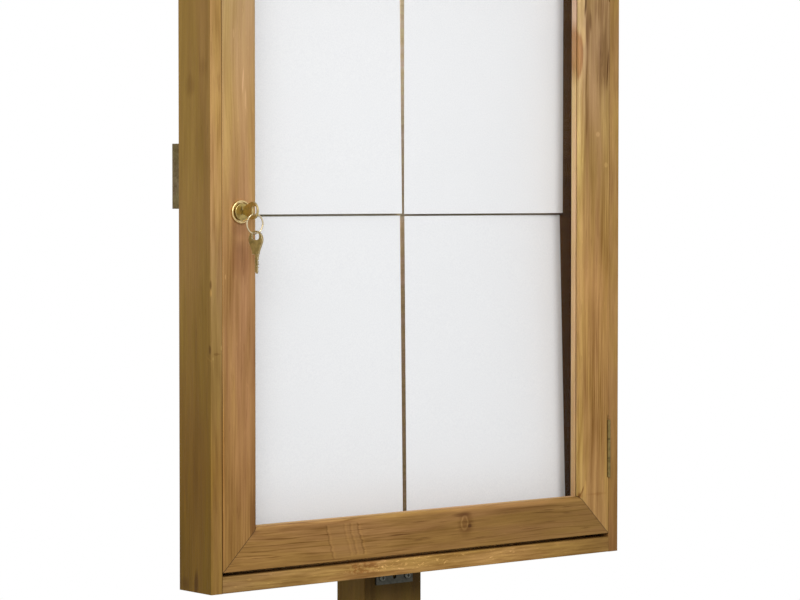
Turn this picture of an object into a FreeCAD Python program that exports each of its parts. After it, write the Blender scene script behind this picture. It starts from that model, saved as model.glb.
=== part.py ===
import FreeCAD, Part
import math
import os

# A lockable notice board on one post: a shallow softwood case with a glazed, hinged
# and locked door, four paper sheets inside, a batten and an angle bracket that fix
# the case to the post, and a cam lock with a key, a ring and a spare key.
# Millimetres. +X is right, +Y goes into the board, +Z is up.
# The origin is the centre of the post's foot.

# Post and batten
POST_WIDTH = 72.0
POST_DEPTH = 44.0
POST_LENGTH = 1800.0
POST_EASE = 2.0
POST_SCREW_ACROSS = 36.0
POST_SCREW_RISE = 28.0
BATTEN_LENGTH = 500.0
BATTEN_HEIGHT = 60.0
BATTEN_DEPTH = 18.0
BATTEN_RISE = 350.5
BATTEN_SCREW_SPOTS = (60.0, 130.0, 200.0)

# Case
CASE_WIDTH = 512.0
CASE_HEIGHT = 694.0
CASE_DEPTH = 50.0
SIDE_THICKNESS = 13.0
END_THICKNESS = 15.2
BACK_THICKNESS = 8.0
BACK_REBATE = 7.0
BOARD_EASE = 1.0
DOWEL_RADIUS = 3.0
DOWEL_LENGTH = 24.0
DOWEL_IN_SIDE = 8.0
DOWEL_DEPTHS = (12.0, 30.0)
PANEL_PIN_LENGTH = 20.0
PANEL_PIN_END = 40.0
PANEL_PIN_SPACING = 150.0
PANEL_PINS_UP = 5

# Door
DOOR_SIDE_GAP = 0.5
DOOR_BOTTOM_GAP = 4.0
DOOR_TOP_GAP = 1.0
DOOR_THICKNESS = 18.0
MEMBER_WIDTH = 39.4
LOCK_EDGE_BEVEL = 0.6
MEMBER_ROUND = 5.0
LIP_THICKNESS = 6.0
GLAZING_REBATE = 8.0
PANE_THICKNESS = 2.0
PANE_PLAY = 0.5
PANE_BACK_PLAY = 0.1
BEAD_THICKNESS = 6.0
BEAD_PIN_SPOTS = (0.2, 0.4, 0.6, 0.8)
BEAD_PIN_LENGTH = 15.0
BEAD_PIN_INSET = 2.0
SPLINE_THICKNESS = 3.0
SPLINE_WIDTH = 20.0
SPLINE_LENGTH = 18.0

# Door stops on the lock side
STOP_WIDTH = 9.0
STOP_DEPTH = 12.0
STOP_HEIGHT = 40.0
STOP_GAP = 0.4
STOP_FROM_DOOR_END = 80.0
STOP_PIN_SPOTS = (0.25, 0.75)
STOP_PIN_LENGTH = 18.0

# Butt hinges
HINGE_LENGTH = 58.0
HINGE_FROM_DOOR_END = 57.2
HINGE_KNUCKLES = 3
KNUCKLE_RADIUS = 1.7
KNUCKLE_PROUD = 0.2
KNUCKLE_GAP = 0.3
KNUCKLE_CLEAR = 0.3
HINGE_PIN_RADIUS = 0.9
HINGE_PIN_PLAY = 0.05
LEAF_THICKNESS = 1.2
LEAF_WIDTH = 13.0
LEAF_SCREW_SPOTS = (0.15, 0.5, 0.85)
LEAF_SCREW_ACROSS = 0.6
MORTISE_OVERRUN = 4.5

# Sheets: A4, held by dots of putty at their top corners, so their lower edges stand forward.
# Each sheet's corners are so far behind the case's front: top left and right, bottom left and right.
SHEET_WIDTH = 210.0
SHEET_HEIGHT = 297.0
SHEET_THICKNESS = 0.3
ROW_GAP = 2.0
LEFT_ROW_GAP_RISE = 344.1
RIGHT_ROW_GAP_RISE = 343.6
LEFT_SHEETS_X = -212.0
UPPER_RIGHT_X = 2.0
LOWER_RIGHT_X = 2.5
UPPER_LEFT_DEPTHS = (39.0, 39.7, 34.8, 34.6)
UPPER_RIGHT_DEPTHS = (36.1, 36.2, 36.1, 36.3)
LOWER_LEFT_DEPTHS = (37.8, 37.8, 33.0, 33.0)
LOWER_RIGHT_DEPTHS = (36.2, 41.4, 32.6, 31.9)
PUTTY_RADIUS = 7.0
PUTTY_INSET = 16.0
PUTTY_BULGE = 5.0

# Angle bracket under the case
BRACKET_WIDTH = 46.0
BRACKET_DROP = 16.4
BRACKET_REACH = 20.0
BRACKET_THICKNESS = 2.0
BRACKET_HOLE_RADIUS = 2.25
BRACKET_HOLE_SPACING = 16.0
BRACKET_HOLE_DROP = 9.4
BRACKET_HOLE_REACH = 11.5

# Cam lock
LOCK_BACKSET = 20.0
LOCK_DROP = 0.5
FLANGE_RADIUS = 10.8
FLANGE_PROUD = 2.4
FLANGE_ROUND = 1.1
BARREL_RADIUS = 9.0
BARREL_FLATS = 16.4
BARREL_END = 21.4
PLUG_RADIUS = 7.9
PLUG_TAIL_RADIUS = 6.0
PLUG_STEP = 12.0
PLUG_PROUD = 3.6
PLUG_ROUND = 0.7
PLUG_PLAY = 0.08
FLANGE_GROOVE_RADIUS = 9.3
FLANGE_GROOVE_DEPTH = 2.2
NUT_FLATS = 20.0
NUT_THICKNESS = 3.0
CAM_START = 22.0
CAM_THICKNESS = 2.0
CAM_LENGTH = 27.0
CAM_WIDTH = 12.0
CAM_SQUARE = 6.0
CAM_SLOT_DEPTH = 8.2
CAM_SLOT_PLAY = 1.5

# Keys
KEY_HEAD_LENGTH = 21.5
KEY_HEAD_RADIUS = 8.1
KEY_HEAD_THICKNESS = 1.6
KEY_NECK_HALF = 3.9
KEY_NECK_LENGTH = 2.0
KEY_BLADE_LENGTH = 17.5
KEY_BLADE_HALF = 1.8
KEY_BLADE_THICKNESS = 1.4
KEY_BLADE_DROP = 1.3
KEY_TOOTH = 2.4
KEY_TOOTH_DEPTHS = (0.5, 1.1, 0.8, 1.4, 1.1)
KEY_HOLE_ACROSS = 8.4
KEY_HOLE_ALONG = 6.6
KEY_HOLE_CORNER = 2.6
KEY_HOLE_RIM = 1.6
KEY_CLEAR = 0.3
KEY_STANDOFF = 1.8
KEY_HEAD_RISE = 1.2
RING_RADIUS = 8.9
RING_WIRE = 0.7
RING_CLEAR = 0.4
SPARE_TURN = -76.8
SPARE_SIDESTEP = 1.2

# Fasteners. A screw's size is its head's and its shank's radius and its length.
FIT = 0.05
PIN_RADIUS = 0.8
BATTEN_SCREW = (4.0, 2.0, 22.0)
POST_SCREW = (5.0, 2.5, 46.0)
BRACKET_POST_SCREW = (3.6, 2.0, 30.0)
BRACKET_CASE_SCREW = (3.6, 2.0, 14.0)
LEAF_SCREW = (2.6, 1.2, 10.5)
CAM_SCREW = (4.2, 1.5, 7.0)
CAM_SCREW_RECESS = 1.2
PAN_HEAD_RISE = 0.55

# Places worked out from the sizes above
CASE_BACK = -POST_DEPTH / 2
CASE_FRONT = CASE_BACK - CASE_DEPTH
CASE_BOTTOM = POST_LENGTH - BATTEN_HEIGHT - BATTEN_RISE
CASE_TOP = CASE_BOTTOM + CASE_HEIGHT
CASE_HALF = CASE_WIDTH / 2
INNER_HALF = CASE_HALF - SIDE_THICKNESS
INNER_BOTTOM = CASE_BOTTOM + END_THICKNESS
INNER_TOP = CASE_TOP - END_THICKNESS
BACK_FRONT = CASE_BACK - BACK_THICKNESS
DOOR_HALF = INNER_HALF - DOOR_SIDE_GAP
DOOR_BOTTOM = INNER_BOTTOM + DOOR_BOTTOM_GAP
DOOR_TOP = INNER_TOP - DOOR_TOP_GAP
DOOR_BACK = CASE_FRONT + DOOR_THICKNESS
GLASS_FRONT = CASE_FRONT + LIP_THICKNESS
BEAD_FRONT = GLASS_FRONT + PANE_THICKNESS
REBATE_EDGE = MEMBER_WIDTH - GLAZING_REBATE
HINGE_X = INNER_HALF - DOOR_SIDE_GAP / 2
HINGE_Y = CASE_FRONT - KNUCKLE_PROUD
LOCK_X = -DOOR_HALF + LOCK_BACKSET
LOCK_Z = (DOOR_BOTTOM + DOOR_TOP) / 2 - LOCK_DROP
KEY_HEAD_Z = LOCK_Z + KEY_HEAD_RISE
BATTEN_BOTTOM = CASE_BOTTOM + BATTEN_RISE

X_AXIS = FreeCAD.Vector(1, 0, 0)
Y_AXIS = FreeCAD.Vector(0, 1, 0)
Z_AXIS = FreeCAD.Vector(0, 0, 1)

pieces = {}


def at(x, y, z):
    return FreeCAD.Vector(x, y, z)


def block(x0, x1, y0, y1, z0, z1):
    return Part.makeBox(x1 - x0, y1 - y0, z1 - z0, at(x0, y0, z0))


def rod(point, direction, radius, length):
    return Part.makeCylinder(radius, length, point, direction)


def ease(shape, axis, radius):
    """Rounds the edges that run along an axis."""
    along = []
    for edge in shape.Edges:
        run = edge.Vertexes[-1].Point - edge.Vertexes[0].Point
        if run.Length > 0 and abs(run.dot(axis)) > 0.999 * run.Length:
            along.append(edge)
    return shape.makeFillet(radius, along)


def cut(shape, tools):
    for tool in tools:
        shape = shape.cut(tool)
    return shape


def countersunk(point, direction, head, shank, length, play=0.0):
    """A countersunk wood screw: a cone head flush with point, a shank and a tip."""
    sink = head - shank
    tip = shank * 2
    cone = Part.makeCone(head + play, shank + play, sink, point, direction)
    body = rod(point, direction, shank + play, length - tip)
    nose = Part.makeCone(shank + play, 0.2, tip, point + direction * (length - tip), direction)
    return cone.fuse([body, nose])


def pan_head(point, direction, head, shank, length, play=0.0):
    """A pan head wood screw, its head standing on the surface at point."""
    rise = head * PAN_HEAD_RISE
    cap = rod(point - direction * rise, direction, head + play, rise)
    if play == 0.0:
        rim = [edge for edge in cap.Edges if abs((edge.CenterOfMass - point).Length - rise) < 0.01]
        cap = cap.makeFillet(rise * 0.8, rim)
    tip = shank * 2
    body = rod(point, direction, shank + play, length - tip)
    nose = Part.makeCone(shank + play, 0.2, tip, point + direction * (length - tip), direction)
    return cap.fuse([body, nose])


def cross_recess(point, direction, size, depth):
    """The two crossed slots of a driver recess, from point inwards."""
    slot = size * 0.28
    bars = []
    for length, height in ((size, slot), (slot, size)):
        bar = Part.makeBox(length, height, depth * 2, at(-length / 2, -height / 2, -depth))
        bar.Placement = FreeCAD.Placement(point, FreeCAD.Rotation(Z_AXIS, direction))
        bars.append(bar)
    return bars


def screws(kind, points, direction, size, rise=0.0):
    """A set of equal screws with driver recesses, and the holes they need."""
    head = size[0]
    made = []
    holes = []
    for point in points:
        recess = cross_recess(point - direction * rise, direction, head, head * 0.4)
        made.append(cut(kind(point, direction, *size), recess))
        holes.append(kind(point, direction, *size, FIT))
    return made, holes


def keep(name, shape):
    pieces[name] = shape


def keep_group(name, shapes):
    pieces[name] = Part.makeCompound(shapes)


# Back panel, its rebate and the screws that hold the batten and the post to it
back_panel = block(
    -INNER_HALF - BACK_REBATE, INNER_HALF + BACK_REBATE, BACK_FRONT, CASE_BACK,
    INNER_BOTTOM - BACK_REBATE, INNER_TOP + BACK_REBATE,
)
batten_middle = BATTEN_BOTTOM + BATTEN_HEIGHT / 2
batten_points = []
for x in BATTEN_SCREW_SPOTS:
    batten_points += [at(-x, BACK_FRONT, batten_middle), at(x, BACK_FRONT, batten_middle)]
batten_screws, batten_holes = screws(countersunk, batten_points, Y_AXIS, BATTEN_SCREW)
post_points = []
for across in (-POST_SCREW_ACROSS / 2, POST_SCREW_ACROSS / 2):
    for rise in (-POST_SCREW_RISE / 2, POST_SCREW_RISE / 2):
        post_points.append(at(across, BACK_FRONT, batten_middle + rise))
post_screws, post_holes = screws(countersunk, post_points, Y_AXIS, POST_SCREW)

panel_pins = []
panel_edge_x = INNER_HALF + BACK_REBATE / 2
lowest_pin = INNER_BOTTOM + PANEL_PIN_END
pin_step = (INNER_TOP - PANEL_PIN_END - lowest_pin) / (PANEL_PINS_UP - 1)
pin_points = []
for number in range(PANEL_PINS_UP):
    for x in (-panel_edge_x, panel_edge_x):
        pin_points.append(at(x, CASE_BACK, lowest_pin + number * pin_step))
for x in (-PANEL_PIN_SPACING, 0, PANEL_PIN_SPACING):
    pin_points.append(at(x, CASE_BACK, INNER_TOP + BACK_REBATE / 2))
for x in (-PANEL_PIN_SPACING, PANEL_PIN_SPACING):
    pin_points.append(at(x, CASE_BACK, INNER_BOTTOM - BACK_REBATE / 2))
for point in pin_points:
    panel_pins.append(rod(point, -Y_AXIS, PIN_RADIUS, PANEL_PIN_LENGTH))
pin_grooves = [pin.makeOffsetShape(FIT, 0.01) for pin in panel_pins]
keep("back_panel", cut(back_panel, batten_holes + post_holes + pin_grooves))
keep_group("batten_screws", batten_screws)
keep_group("post_screws", post_screws)
keep_group("back_panel_pins", panel_pins)

# Post with a notch for the batten
bracket_row = at(0, CASE_BACK - BRACKET_THICKNESS, CASE_BOTTOM - BRACKET_HOLE_DROP)
bracket_column = at(0, CASE_BACK - BRACKET_HOLE_REACH, CASE_BOTTOM - BRACKET_THICKNESS)
bracket_offsets = [at(x, 0, 0) for x in (-BRACKET_HOLE_SPACING, BRACKET_HOLE_SPACING)]
head_rise = BRACKET_POST_SCREW[0] * PAN_HEAD_RISE
into_post, into_post_holes = screws(
    pan_head, [bracket_row + offset for offset in bracket_offsets], Y_AXIS, BRACKET_POST_SCREW, head_rise)
into_case, into_case_holes = screws(
    pan_head, [bracket_column + offset for offset in bracket_offsets], Z_AXIS, BRACKET_CASE_SCREW,
    head_rise)
batten = block(
    -BATTEN_LENGTH / 2, BATTEN_LENGTH / 2, CASE_BACK, CASE_BACK + BATTEN_DEPTH,
    BATTEN_BOTTOM, BATTEN_BOTTOM + BATTEN_HEIGHT,
)
post = ease(
    block(-POST_WIDTH / 2, POST_WIDTH / 2, -POST_DEPTH / 2, POST_DEPTH / 2, 0, POST_LENGTH),
    Z_AXIS, POST_EASE,
)
keep("post", cut(post, [batten] + post_holes + into_post_holes))
keep("cross_batten", cut(batten, batten_holes + post_holes))

# Angle bracket: one leg on the post, the other under the case, three holes in each
bracket_upright = block(
    -BRACKET_WIDTH / 2, BRACKET_WIDTH / 2, CASE_BACK - BRACKET_THICKNESS, CASE_BACK,
    CASE_BOTTOM - BRACKET_DROP, CASE_BOTTOM,
)
bracket_shelf = block(
    -BRACKET_WIDTH / 2, BRACKET_WIDTH / 2, CASE_BACK - BRACKET_REACH, CASE_BACK,
    CASE_BOTTOM - BRACKET_THICKNESS, CASE_BOTTOM,
)
bracket = bracket_upright.fuse(bracket_shelf).removeSplitter()
bracket_drillings = []
for step in (-1, 0, 1):
    x = step * BRACKET_HOLE_SPACING
    bracket_drillings.append(rod(
        at(x, CASE_BACK - 2 * BRACKET_THICKNESS, bracket_row.z), Y_AXIS,
        BRACKET_HOLE_RADIUS, 3 * BRACKET_THICKNESS))
    bracket_drillings.append(rod(
        at(x, bracket_column.y, CASE_BOTTOM - 2 * BRACKET_THICKNESS), Z_AXIS,
        BRACKET_HOLE_RADIUS, 3 * BRACKET_THICKNESS))
keep("angle_bracket", cut(bracket, bracket_drillings))
keep_group("bracket_screws", into_post + into_case)

# Case corners: two hidden dowels each
dowels = []
dowel_holes = []
for side in (-1, 1):
    for z in (CASE_BOTTOM + END_THICKNESS / 2, CASE_TOP - END_THICKNESS / 2):
        for depth in DOWEL_DEPTHS:
            start = at(side * (INNER_HALF + DOWEL_IN_SIDE), CASE_FRONT + depth, z)
            inward = X_AXIS * -side
            dowels.append(rod(start, inward, DOWEL_RADIUS, DOWEL_LENGTH))
            dowel_holes.append(rod(
                start - inward * FIT, inward, DOWEL_RADIUS + FIT, DOWEL_LENGTH + 2 * FIT))
keep_group("corner_dowels", dowels)

# Hinges
lower_hinge = DOOR_BOTTOM + HINGE_FROM_DOOR_END
upper_hinge = DOOR_TOP - HINGE_FROM_DOOR_END - HINGE_LENGTH
knuckle_step = HINGE_LENGTH / HINGE_KNUCKLES
leaf_start = HINGE_Y + KNUCKLE_RADIUS + KNUCKLE_CLEAR
leaf_end = CASE_FRONT + LEAF_WIDTH
leaf_screw_y = CASE_FRONT + LEAF_WIDTH * LEAF_SCREW_ACROSS


def hinge_leaf(bottom, side):
    """One leaf with its knuckles: side +1 is the case's leaf, -1 the door's."""
    near = HINGE_X + side * DOOR_SIDE_GAP / 2
    far = near + side * LEAF_THICKNESS
    x0, x1 = min(near, far), max(near, far)
    leaf = block(x0, x1, leaf_start, leaf_end, bottom, bottom + HINGE_LENGTH)
    first = 0 if side > 0 else 1
    for number in range(first, HINGE_KNUCKLES, 2):
        z0 = bottom + number * knuckle_step
        z1 = z0 + knuckle_step
        if number > 0:
            z0 += KNUCKLE_GAP / 2
        if number < HINGE_KNUCKLES - 1:
            z1 -= KNUCKLE_GAP / 2
        barrel = rod(at(HINGE_X, HINGE_Y, z0), Z_AXIS, KNUCKLE_RADIUS, z1 - z0)
        leaf = leaf.fuse([barrel, block(x0, x1, HINGE_Y, leaf_start, z0, z1)])
    bore_radius = HINGE_PIN_RADIUS + HINGE_PIN_PLAY
    bore = rod(at(HINGE_X, HINGE_Y, bottom - 1), Z_AXIS, bore_radius, HINGE_LENGTH + 2)
    return leaf.removeSplitter().cut(bore)


def leaf_screws(bottom, side):
    face = HINGE_X + side * DOOR_SIDE_GAP / 2
    points = [at(face, leaf_screw_y, bottom + HINGE_LENGTH * part) for part in LEAF_SCREW_SPOTS]
    return screws(countersunk, points, X_AXIS * side, LEAF_SCREW)


def mortise(bottom, side, overrun_at):
    """The recess for one leaf and for the knuckles, longer at one end than the hinge."""
    near = HINGE_X + side * DOOR_SIDE_GAP / 2
    far = near + side * (LEAF_THICKNESS + FIT)
    z0 = bottom - FIT
    z1 = bottom + HINGE_LENGTH + FIT
    if side < 0 and overrun_at > 0:
        z1 += MORTISE_OVERRUN
    if side < 0 and overrun_at < 0:
        z0 -= MORTISE_OVERRUN
    flat = block(min(near, far), max(near, far), CASE_FRONT - 1, leaf_end + FIT, z0, z1)
    round_part = rod(
        at(HINGE_X, HINGE_Y, bottom - FIT), Z_AXIS, KNUCKLE_RADIUS + KNUCKLE_CLEAR,
        HINGE_LENGTH + 2 * FIT)
    return [flat, round_part]


case_cuts = []
door_cuts = []
case_leaf_screws = []
door_leaf_screws = []
for name, bottom, overrun_at in (("lower", lower_hinge, 1), ("upper", upper_hinge, -1)):
    case_made, case_holes = leaf_screws(bottom, 1)
    door_made, door_holes = leaf_screws(bottom, -1)
    keep("hinge_%s_case_leaf" % name, cut(hinge_leaf(bottom, 1), case_holes))
    keep("hinge_%s_door_leaf" % name, cut(hinge_leaf(bottom, -1), door_holes))
    keep("hinge_%s_pin" % name, rod(
        at(HINGE_X, HINGE_Y, bottom), Z_AXIS, HINGE_PIN_RADIUS, HINGE_LENGTH))
    case_leaf_screws += case_made
    door_leaf_screws += door_made
    case_cuts += mortise(bottom, 1, overrun_at) + case_holes
    door_cuts += mortise(bottom, -1, overrun_at) + door_holes
keep_group("hinge_case_screws", case_leaf_screws)
keep_group("hinge_door_screws", door_leaf_screws)

# Case boards. The left one has a slot that the lock's cam turns into.
cam_reach = math.hypot(CAM_LENGTH, CAM_WIDTH / 2)
cam_to_board = LOCK_X + INNER_HALF
slot_low = math.sqrt(cam_reach ** 2 - cam_to_board ** 2) + CAM_SLOT_PLAY
slot_high = CAM_WIDTH / 2 + CAM_SLOT_PLAY
cam_front = CASE_FRONT + CAM_START
cam_slot = block(
    -INNER_HALF - CAM_SLOT_DEPTH, -INNER_HALF + 1,
    cam_front - CAM_SLOT_PLAY, cam_front + CAM_THICKNESS + CAM_SLOT_PLAY,
    LOCK_Z - slot_low, LOCK_Z + slot_high,
)
stop_pins = []
stop_bottoms = {
    "lower": DOOR_BOTTOM + STOP_FROM_DOOR_END,
    "upper": DOOR_TOP - STOP_FROM_DOOR_END - STOP_HEIGHT,
}
stop_front = DOOR_BACK + STOP_GAP
for bottom in stop_bottoms.values():
    for part in STOP_PIN_SPOTS:
        start = at(-INNER_HALF + STOP_WIDTH, stop_front + STOP_DEPTH / 2, bottom + STOP_HEIGHT * part)
        stop_pins.append(rod(start, -X_AXIS, PIN_RADIUS, STOP_PIN_LENGTH))
stop_pin_holes = [pin.makeOffsetShape(FIT, 0.01) for pin in stop_pins]

side_left = ease(
    block(-CASE_HALF, -INNER_HALF, CASE_FRONT, CASE_BACK, CASE_BOTTOM, CASE_TOP), Z_AXIS, BOARD_EASE)
side_right = ease(
    block(INNER_HALF, CASE_HALF, CASE_FRONT, CASE_BACK, CASE_BOTTOM, CASE_TOP), Z_AXIS, BOARD_EASE)
bottom_board = ease(
    block(-INNER_HALF, INNER_HALF, CASE_FRONT, CASE_BACK, CASE_BOTTOM, INNER_BOTTOM),
    X_AXIS, BOARD_EASE)
top_board = ease(
    block(-INNER_HALF, INNER_HALF, CASE_FRONT, CASE_BACK, INNER_TOP, CASE_TOP), X_AXIS, BOARD_EASE)
shared_cuts = [back_panel] + dowel_holes + pin_grooves
keep("case_side_left", cut(side_left, shared_cuts + [cam_slot] + stop_pin_holes))
keep("case_side_right", cut(side_right, shared_cuts + case_cuts))
keep("case_bottom", cut(bottom_board, shared_cuts + into_case_holes))
keep("case_top", cut(top_board, shared_cuts))
for name, bottom in stop_bottoms.items():
    stop = block(
        -INNER_HALF, -INNER_HALF + STOP_WIDTH, stop_front, stop_front + STOP_DEPTH,
        bottom, bottom + STOP_HEIGHT)
    keep("door_stop_%s" % name, cut(stop, stop_pin_holes))
keep_group("door_stop_pins", stop_pins)


# Sheets: each is a ruled surface through its four corners, thickened backwards
def sheet_face(left, bottom, depths):
    top_left, top_right, bottom_left, bottom_right = depths
    lower_left = at(left, CASE_FRONT + bottom_left, bottom)
    upper_left = at(left, CASE_FRONT + top_left, bottom + SHEET_HEIGHT)
    lower_right = at(left + SHEET_WIDTH, CASE_FRONT + bottom_right, bottom)
    upper_right = at(left + SHEET_WIDTH, CASE_FRONT + top_right, bottom + SHEET_HEIGHT)
    left_edge = Part.LineSegment(lower_left, upper_left).toShape()
    right_edge = Part.LineSegment(lower_right, upper_right).toShape()
    return Part.makeRuledSurface(left_edge, right_edge)


upper_left = CASE_BOTTOM + LEFT_ROW_GAP_RISE + ROW_GAP / 2
upper_right = CASE_BOTTOM + RIGHT_ROW_GAP_RISE + ROW_GAP / 2
sheets = {
    "sheet_upper_left": (LEFT_SHEETS_X, upper_left, UPPER_LEFT_DEPTHS),
    "sheet_upper_right": (UPPER_RIGHT_X, upper_right, UPPER_RIGHT_DEPTHS),
    "sheet_lower_left": (LEFT_SHEETS_X, upper_left - ROW_GAP - SHEET_HEIGHT, LOWER_LEFT_DEPTHS),
    "sheet_lower_right": (LOWER_RIGHT_X, upper_right - ROW_GAP - SHEET_HEIGHT, LOWER_RIGHT_DEPTHS),
}
putty_dots = []
for name, (left, bottom, depths) in sheets.items():
    face = sheet_face(left, bottom, depths)
    keep(name, face.extrude(Y_AXIS * SHEET_THICKNESS))
    in_front = face.copy()
    in_front.translate(Y_AXIS * (SHEET_THICKNESS + FIT))
    in_front = in_front.extrude(Y_AXIS * -CASE_DEPTH)
    dot_front = CASE_FRONT + depths[0] - PUTTY_BULGE
    z = bottom + SHEET_HEIGHT - PUTTY_INSET
    for x in (left + PUTTY_INSET, left + SHEET_WIDTH - PUTTY_INSET):
        dot = rod(at(x, dot_front, z), Y_AXIS, PUTTY_RADIUS, BACK_FRONT - dot_front)
        putty_dots.append(dot.cut(in_front))
keep_group("sheet_putty", putty_dots)


# Door members: one moulded section, mitred at both ends. Along a member, u runs from its
# outer edge inwards, v from the face backwards and w along it. The outer edge on the lock
# side is planed back a little, so that it swings clear of the case.
def member(origin, u_axis, w_axis, length, edge_bevel):
    def spot(u, v, w=0.0):
        return origin + u_axis * u + Y_AXIS * v + w_axis * w

    flat_end = MEMBER_WIDTH - MEMBER_ROUND
    arc_middle = MEMBER_ROUND * (1 - math.sqrt(0.5))
    corners = [
        spot(MEMBER_WIDTH, MEMBER_ROUND), spot(MEMBER_WIDTH, LIP_THICKNESS),
        spot(REBATE_EDGE, LIP_THICKNESS), spot(REBATE_EDGE, DOOR_THICKNESS),
        spot(edge_bevel, DOOR_THICKNESS), spot(0, 0), spot(flat_end, 0),
    ]
    edges = [Part.LineSegment(a, b).toShape() for a, b in zip(corners, corners[1:])]
    rounding = Part.Arc(
        spot(flat_end, 0), spot(MEMBER_WIDTH - arc_middle, arc_middle), spot(MEMBER_WIDTH, MEMBER_ROUND))
    edges.append(rounding.toShape())
    section = Part.Face(Part.Wire(edges))
    bar = section.extrude(w_axis * length)
    ends = [
        spot(0, -1, 0), spot(0, -1, length), spot(length / 2, -1, length / 2), spot(0, -1, 0),
    ]
    wedge = Part.Face(Part.makePolygon(ends)).extrude(Y_AXIS * (DOOR_THICKNESS + 2))
    return bar.common(wedge)


def bead(origin, u_axis, w_axis, length):
    """A square glazing bead behind the pane, mitred like the members."""
    def spot(u, v, w=0.0):
        return origin + u_axis * u + Y_AXIS * v + w_axis * w

    u0, u1 = REBATE_EDGE, MEMBER_WIDTH
    outline = [
        spot(u0, LIP_THICKNESS + PANE_THICKNESS, u0),
        spot(u1, LIP_THICKNESS + PANE_THICKNESS, u1),
        spot(u1, LIP_THICKNESS + PANE_THICKNESS, length - u1),
        spot(u0, LIP_THICKNESS + PANE_THICKNESS, length - u0),
    ]
    outline.append(outline[0])
    return Part.Face(Part.makePolygon(outline)).extrude(Y_AXIS * BEAD_THICKNESS)


door_width = 2 * DOOR_HALF
door_height = DOOR_TOP - DOOR_BOTTOM
low_left = at(-DOOR_HALF, CASE_FRONT, DOOR_BOTTOM)
low_right = at(DOOR_HALF, CASE_FRONT, DOOR_BOTTOM)
high_left = at(-DOOR_HALF, CASE_FRONT, DOOR_TOP)
members = {
    "left": (low_left, X_AXIS, Z_AXIS, door_height),
    "right": (low_right, -X_AXIS, Z_AXIS, door_height),
    "bottom": (low_left, Z_AXIS, X_AXIS, door_width),
    "top": (high_left, -Z_AXIS, X_AXIS, door_width),
}

# Splines glued across the four mitres
spline_front = CASE_FRONT + (LIP_THICKNESS + DOOR_THICKNESS) / 2 - SPLINE_THICKNESS / 2
splines = []
for x_side in (-1, 1):
    for z_edge, z_side in ((DOOR_BOTTOM, 1), (DOOR_TOP, -1)):
        middle = REBATE_EDGE / 2 + 1
        centre = at(x_side * (DOOR_HALF - middle), spline_front, z_edge + z_side * middle)
        spline = Part.makeBox(SPLINE_LENGTH, SPLINE_THICKNESS, SPLINE_WIDTH,
                              at(-SPLINE_LENGTH / 2, 0, -SPLINE_WIDTH / 2))
        spline.Placement = FreeCAD.Placement(centre, FreeCAD.Rotation(Y_AXIS, 45))
        splines.append(spline)
keep_group("door_corner_splines", splines)

# Pins through the beads, aslant into the rebate's wall
bead_pins = []
for name, (origin, u_axis, w_axis, length) in members.items():
    for part in BEAD_PIN_SPOTS:
        depth = LIP_THICKNESS + PANE_THICKNESS + BEAD_THICKNESS / 2
        start = origin + u_axis * (MEMBER_WIDTH - BEAD_PIN_INSET) + Y_AXIS * depth + w_axis * (length * part)
        bead_pins.append(rod(start, -u_axis, PIN_RADIUS, BEAD_PIN_LENGTH))
bead_pin_holes = [pin.makeOffsetShape(FIT, 0.01) for pin in bead_pins]
keep_group("bead_pins", bead_pins)

lock_bore = rod(at(LOCK_X, CASE_FRONT - 1, LOCK_Z), Y_AXIS, BARREL_RADIUS + FIT, DOOR_THICKNESS + 2)
for name, (origin, u_axis, w_axis, length) in members.items():
    cuts = splines + bead_pin_holes
    if name == "left":
        cuts = cuts + [lock_bore]
    if name == "right":
        cuts = cuts + door_cuts
    kind = "stile" if name in ("left", "right") else "rail"
    edge_bevel = LOCK_EDGE_BEVEL if name == "left" else 0
    bar = member(origin, u_axis, w_axis, length, edge_bevel)
    keep("door_%s_%s" % (kind, name), cut(bar, cuts))
    keep("glazing_bead_%s" % name, cut(bead(origin, u_axis, w_axis, length), bead_pin_holes))

pane_inset = REBATE_EDGE + PANE_PLAY
keep("glazing_pane", block(
    -DOOR_HALF + pane_inset, DOOR_HALF - pane_inset, GLASS_FRONT, BEAD_FRONT - PANE_BACK_PLAY,
    DOOR_BOTTOM + pane_inset, DOOR_TOP - pane_inset,
))


# Cam lock. Distances along the lock count from the case's front.
def on_lock(depth):
    return at(LOCK_X, CASE_FRONT + depth, LOCK_Z)


def lock_rod(radius, start, end):
    return rod(on_lock(start), Y_AXIS, radius, end - start)


flange = lock_rod(FLANGE_RADIUS, -FLANGE_PROUD, 0)
flange_rim = [edge for edge in flange.Edges if abs(edge.CenterOfMass.y - on_lock(-FLANGE_PROUD).y) < 0.01]
flange = flange.makeFillet(FLANGE_ROUND, flange_rim)
threaded = lock_rod(BARREL_RADIUS, 0, BARREL_END)
flats = block(
    LOCK_X - BARREL_FLATS / 2, LOCK_X + BARREL_FLATS / 2, CASE_FRONT, CASE_FRONT + BARREL_END,
    LOCK_Z - BARREL_RADIUS, LOCK_Z + BARREL_RADIUS)
lock_barrel = flange.fuse(threaded.common(flats)).removeSplitter()
keep("lock_barrel", cut(lock_barrel, [
    lock_rod(FLANGE_GROOVE_RADIUS, -FLANGE_PROUD - 1, FLANGE_GROOVE_DEPTH - FLANGE_PROUD),
    lock_rod(PLUG_RADIUS + PLUG_PLAY, -FLANGE_PROUD - 1, PLUG_STEP),
    lock_rod(PLUG_TAIL_RADIUS + PLUG_PLAY, 0, BARREL_END + 1),
]))

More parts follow.
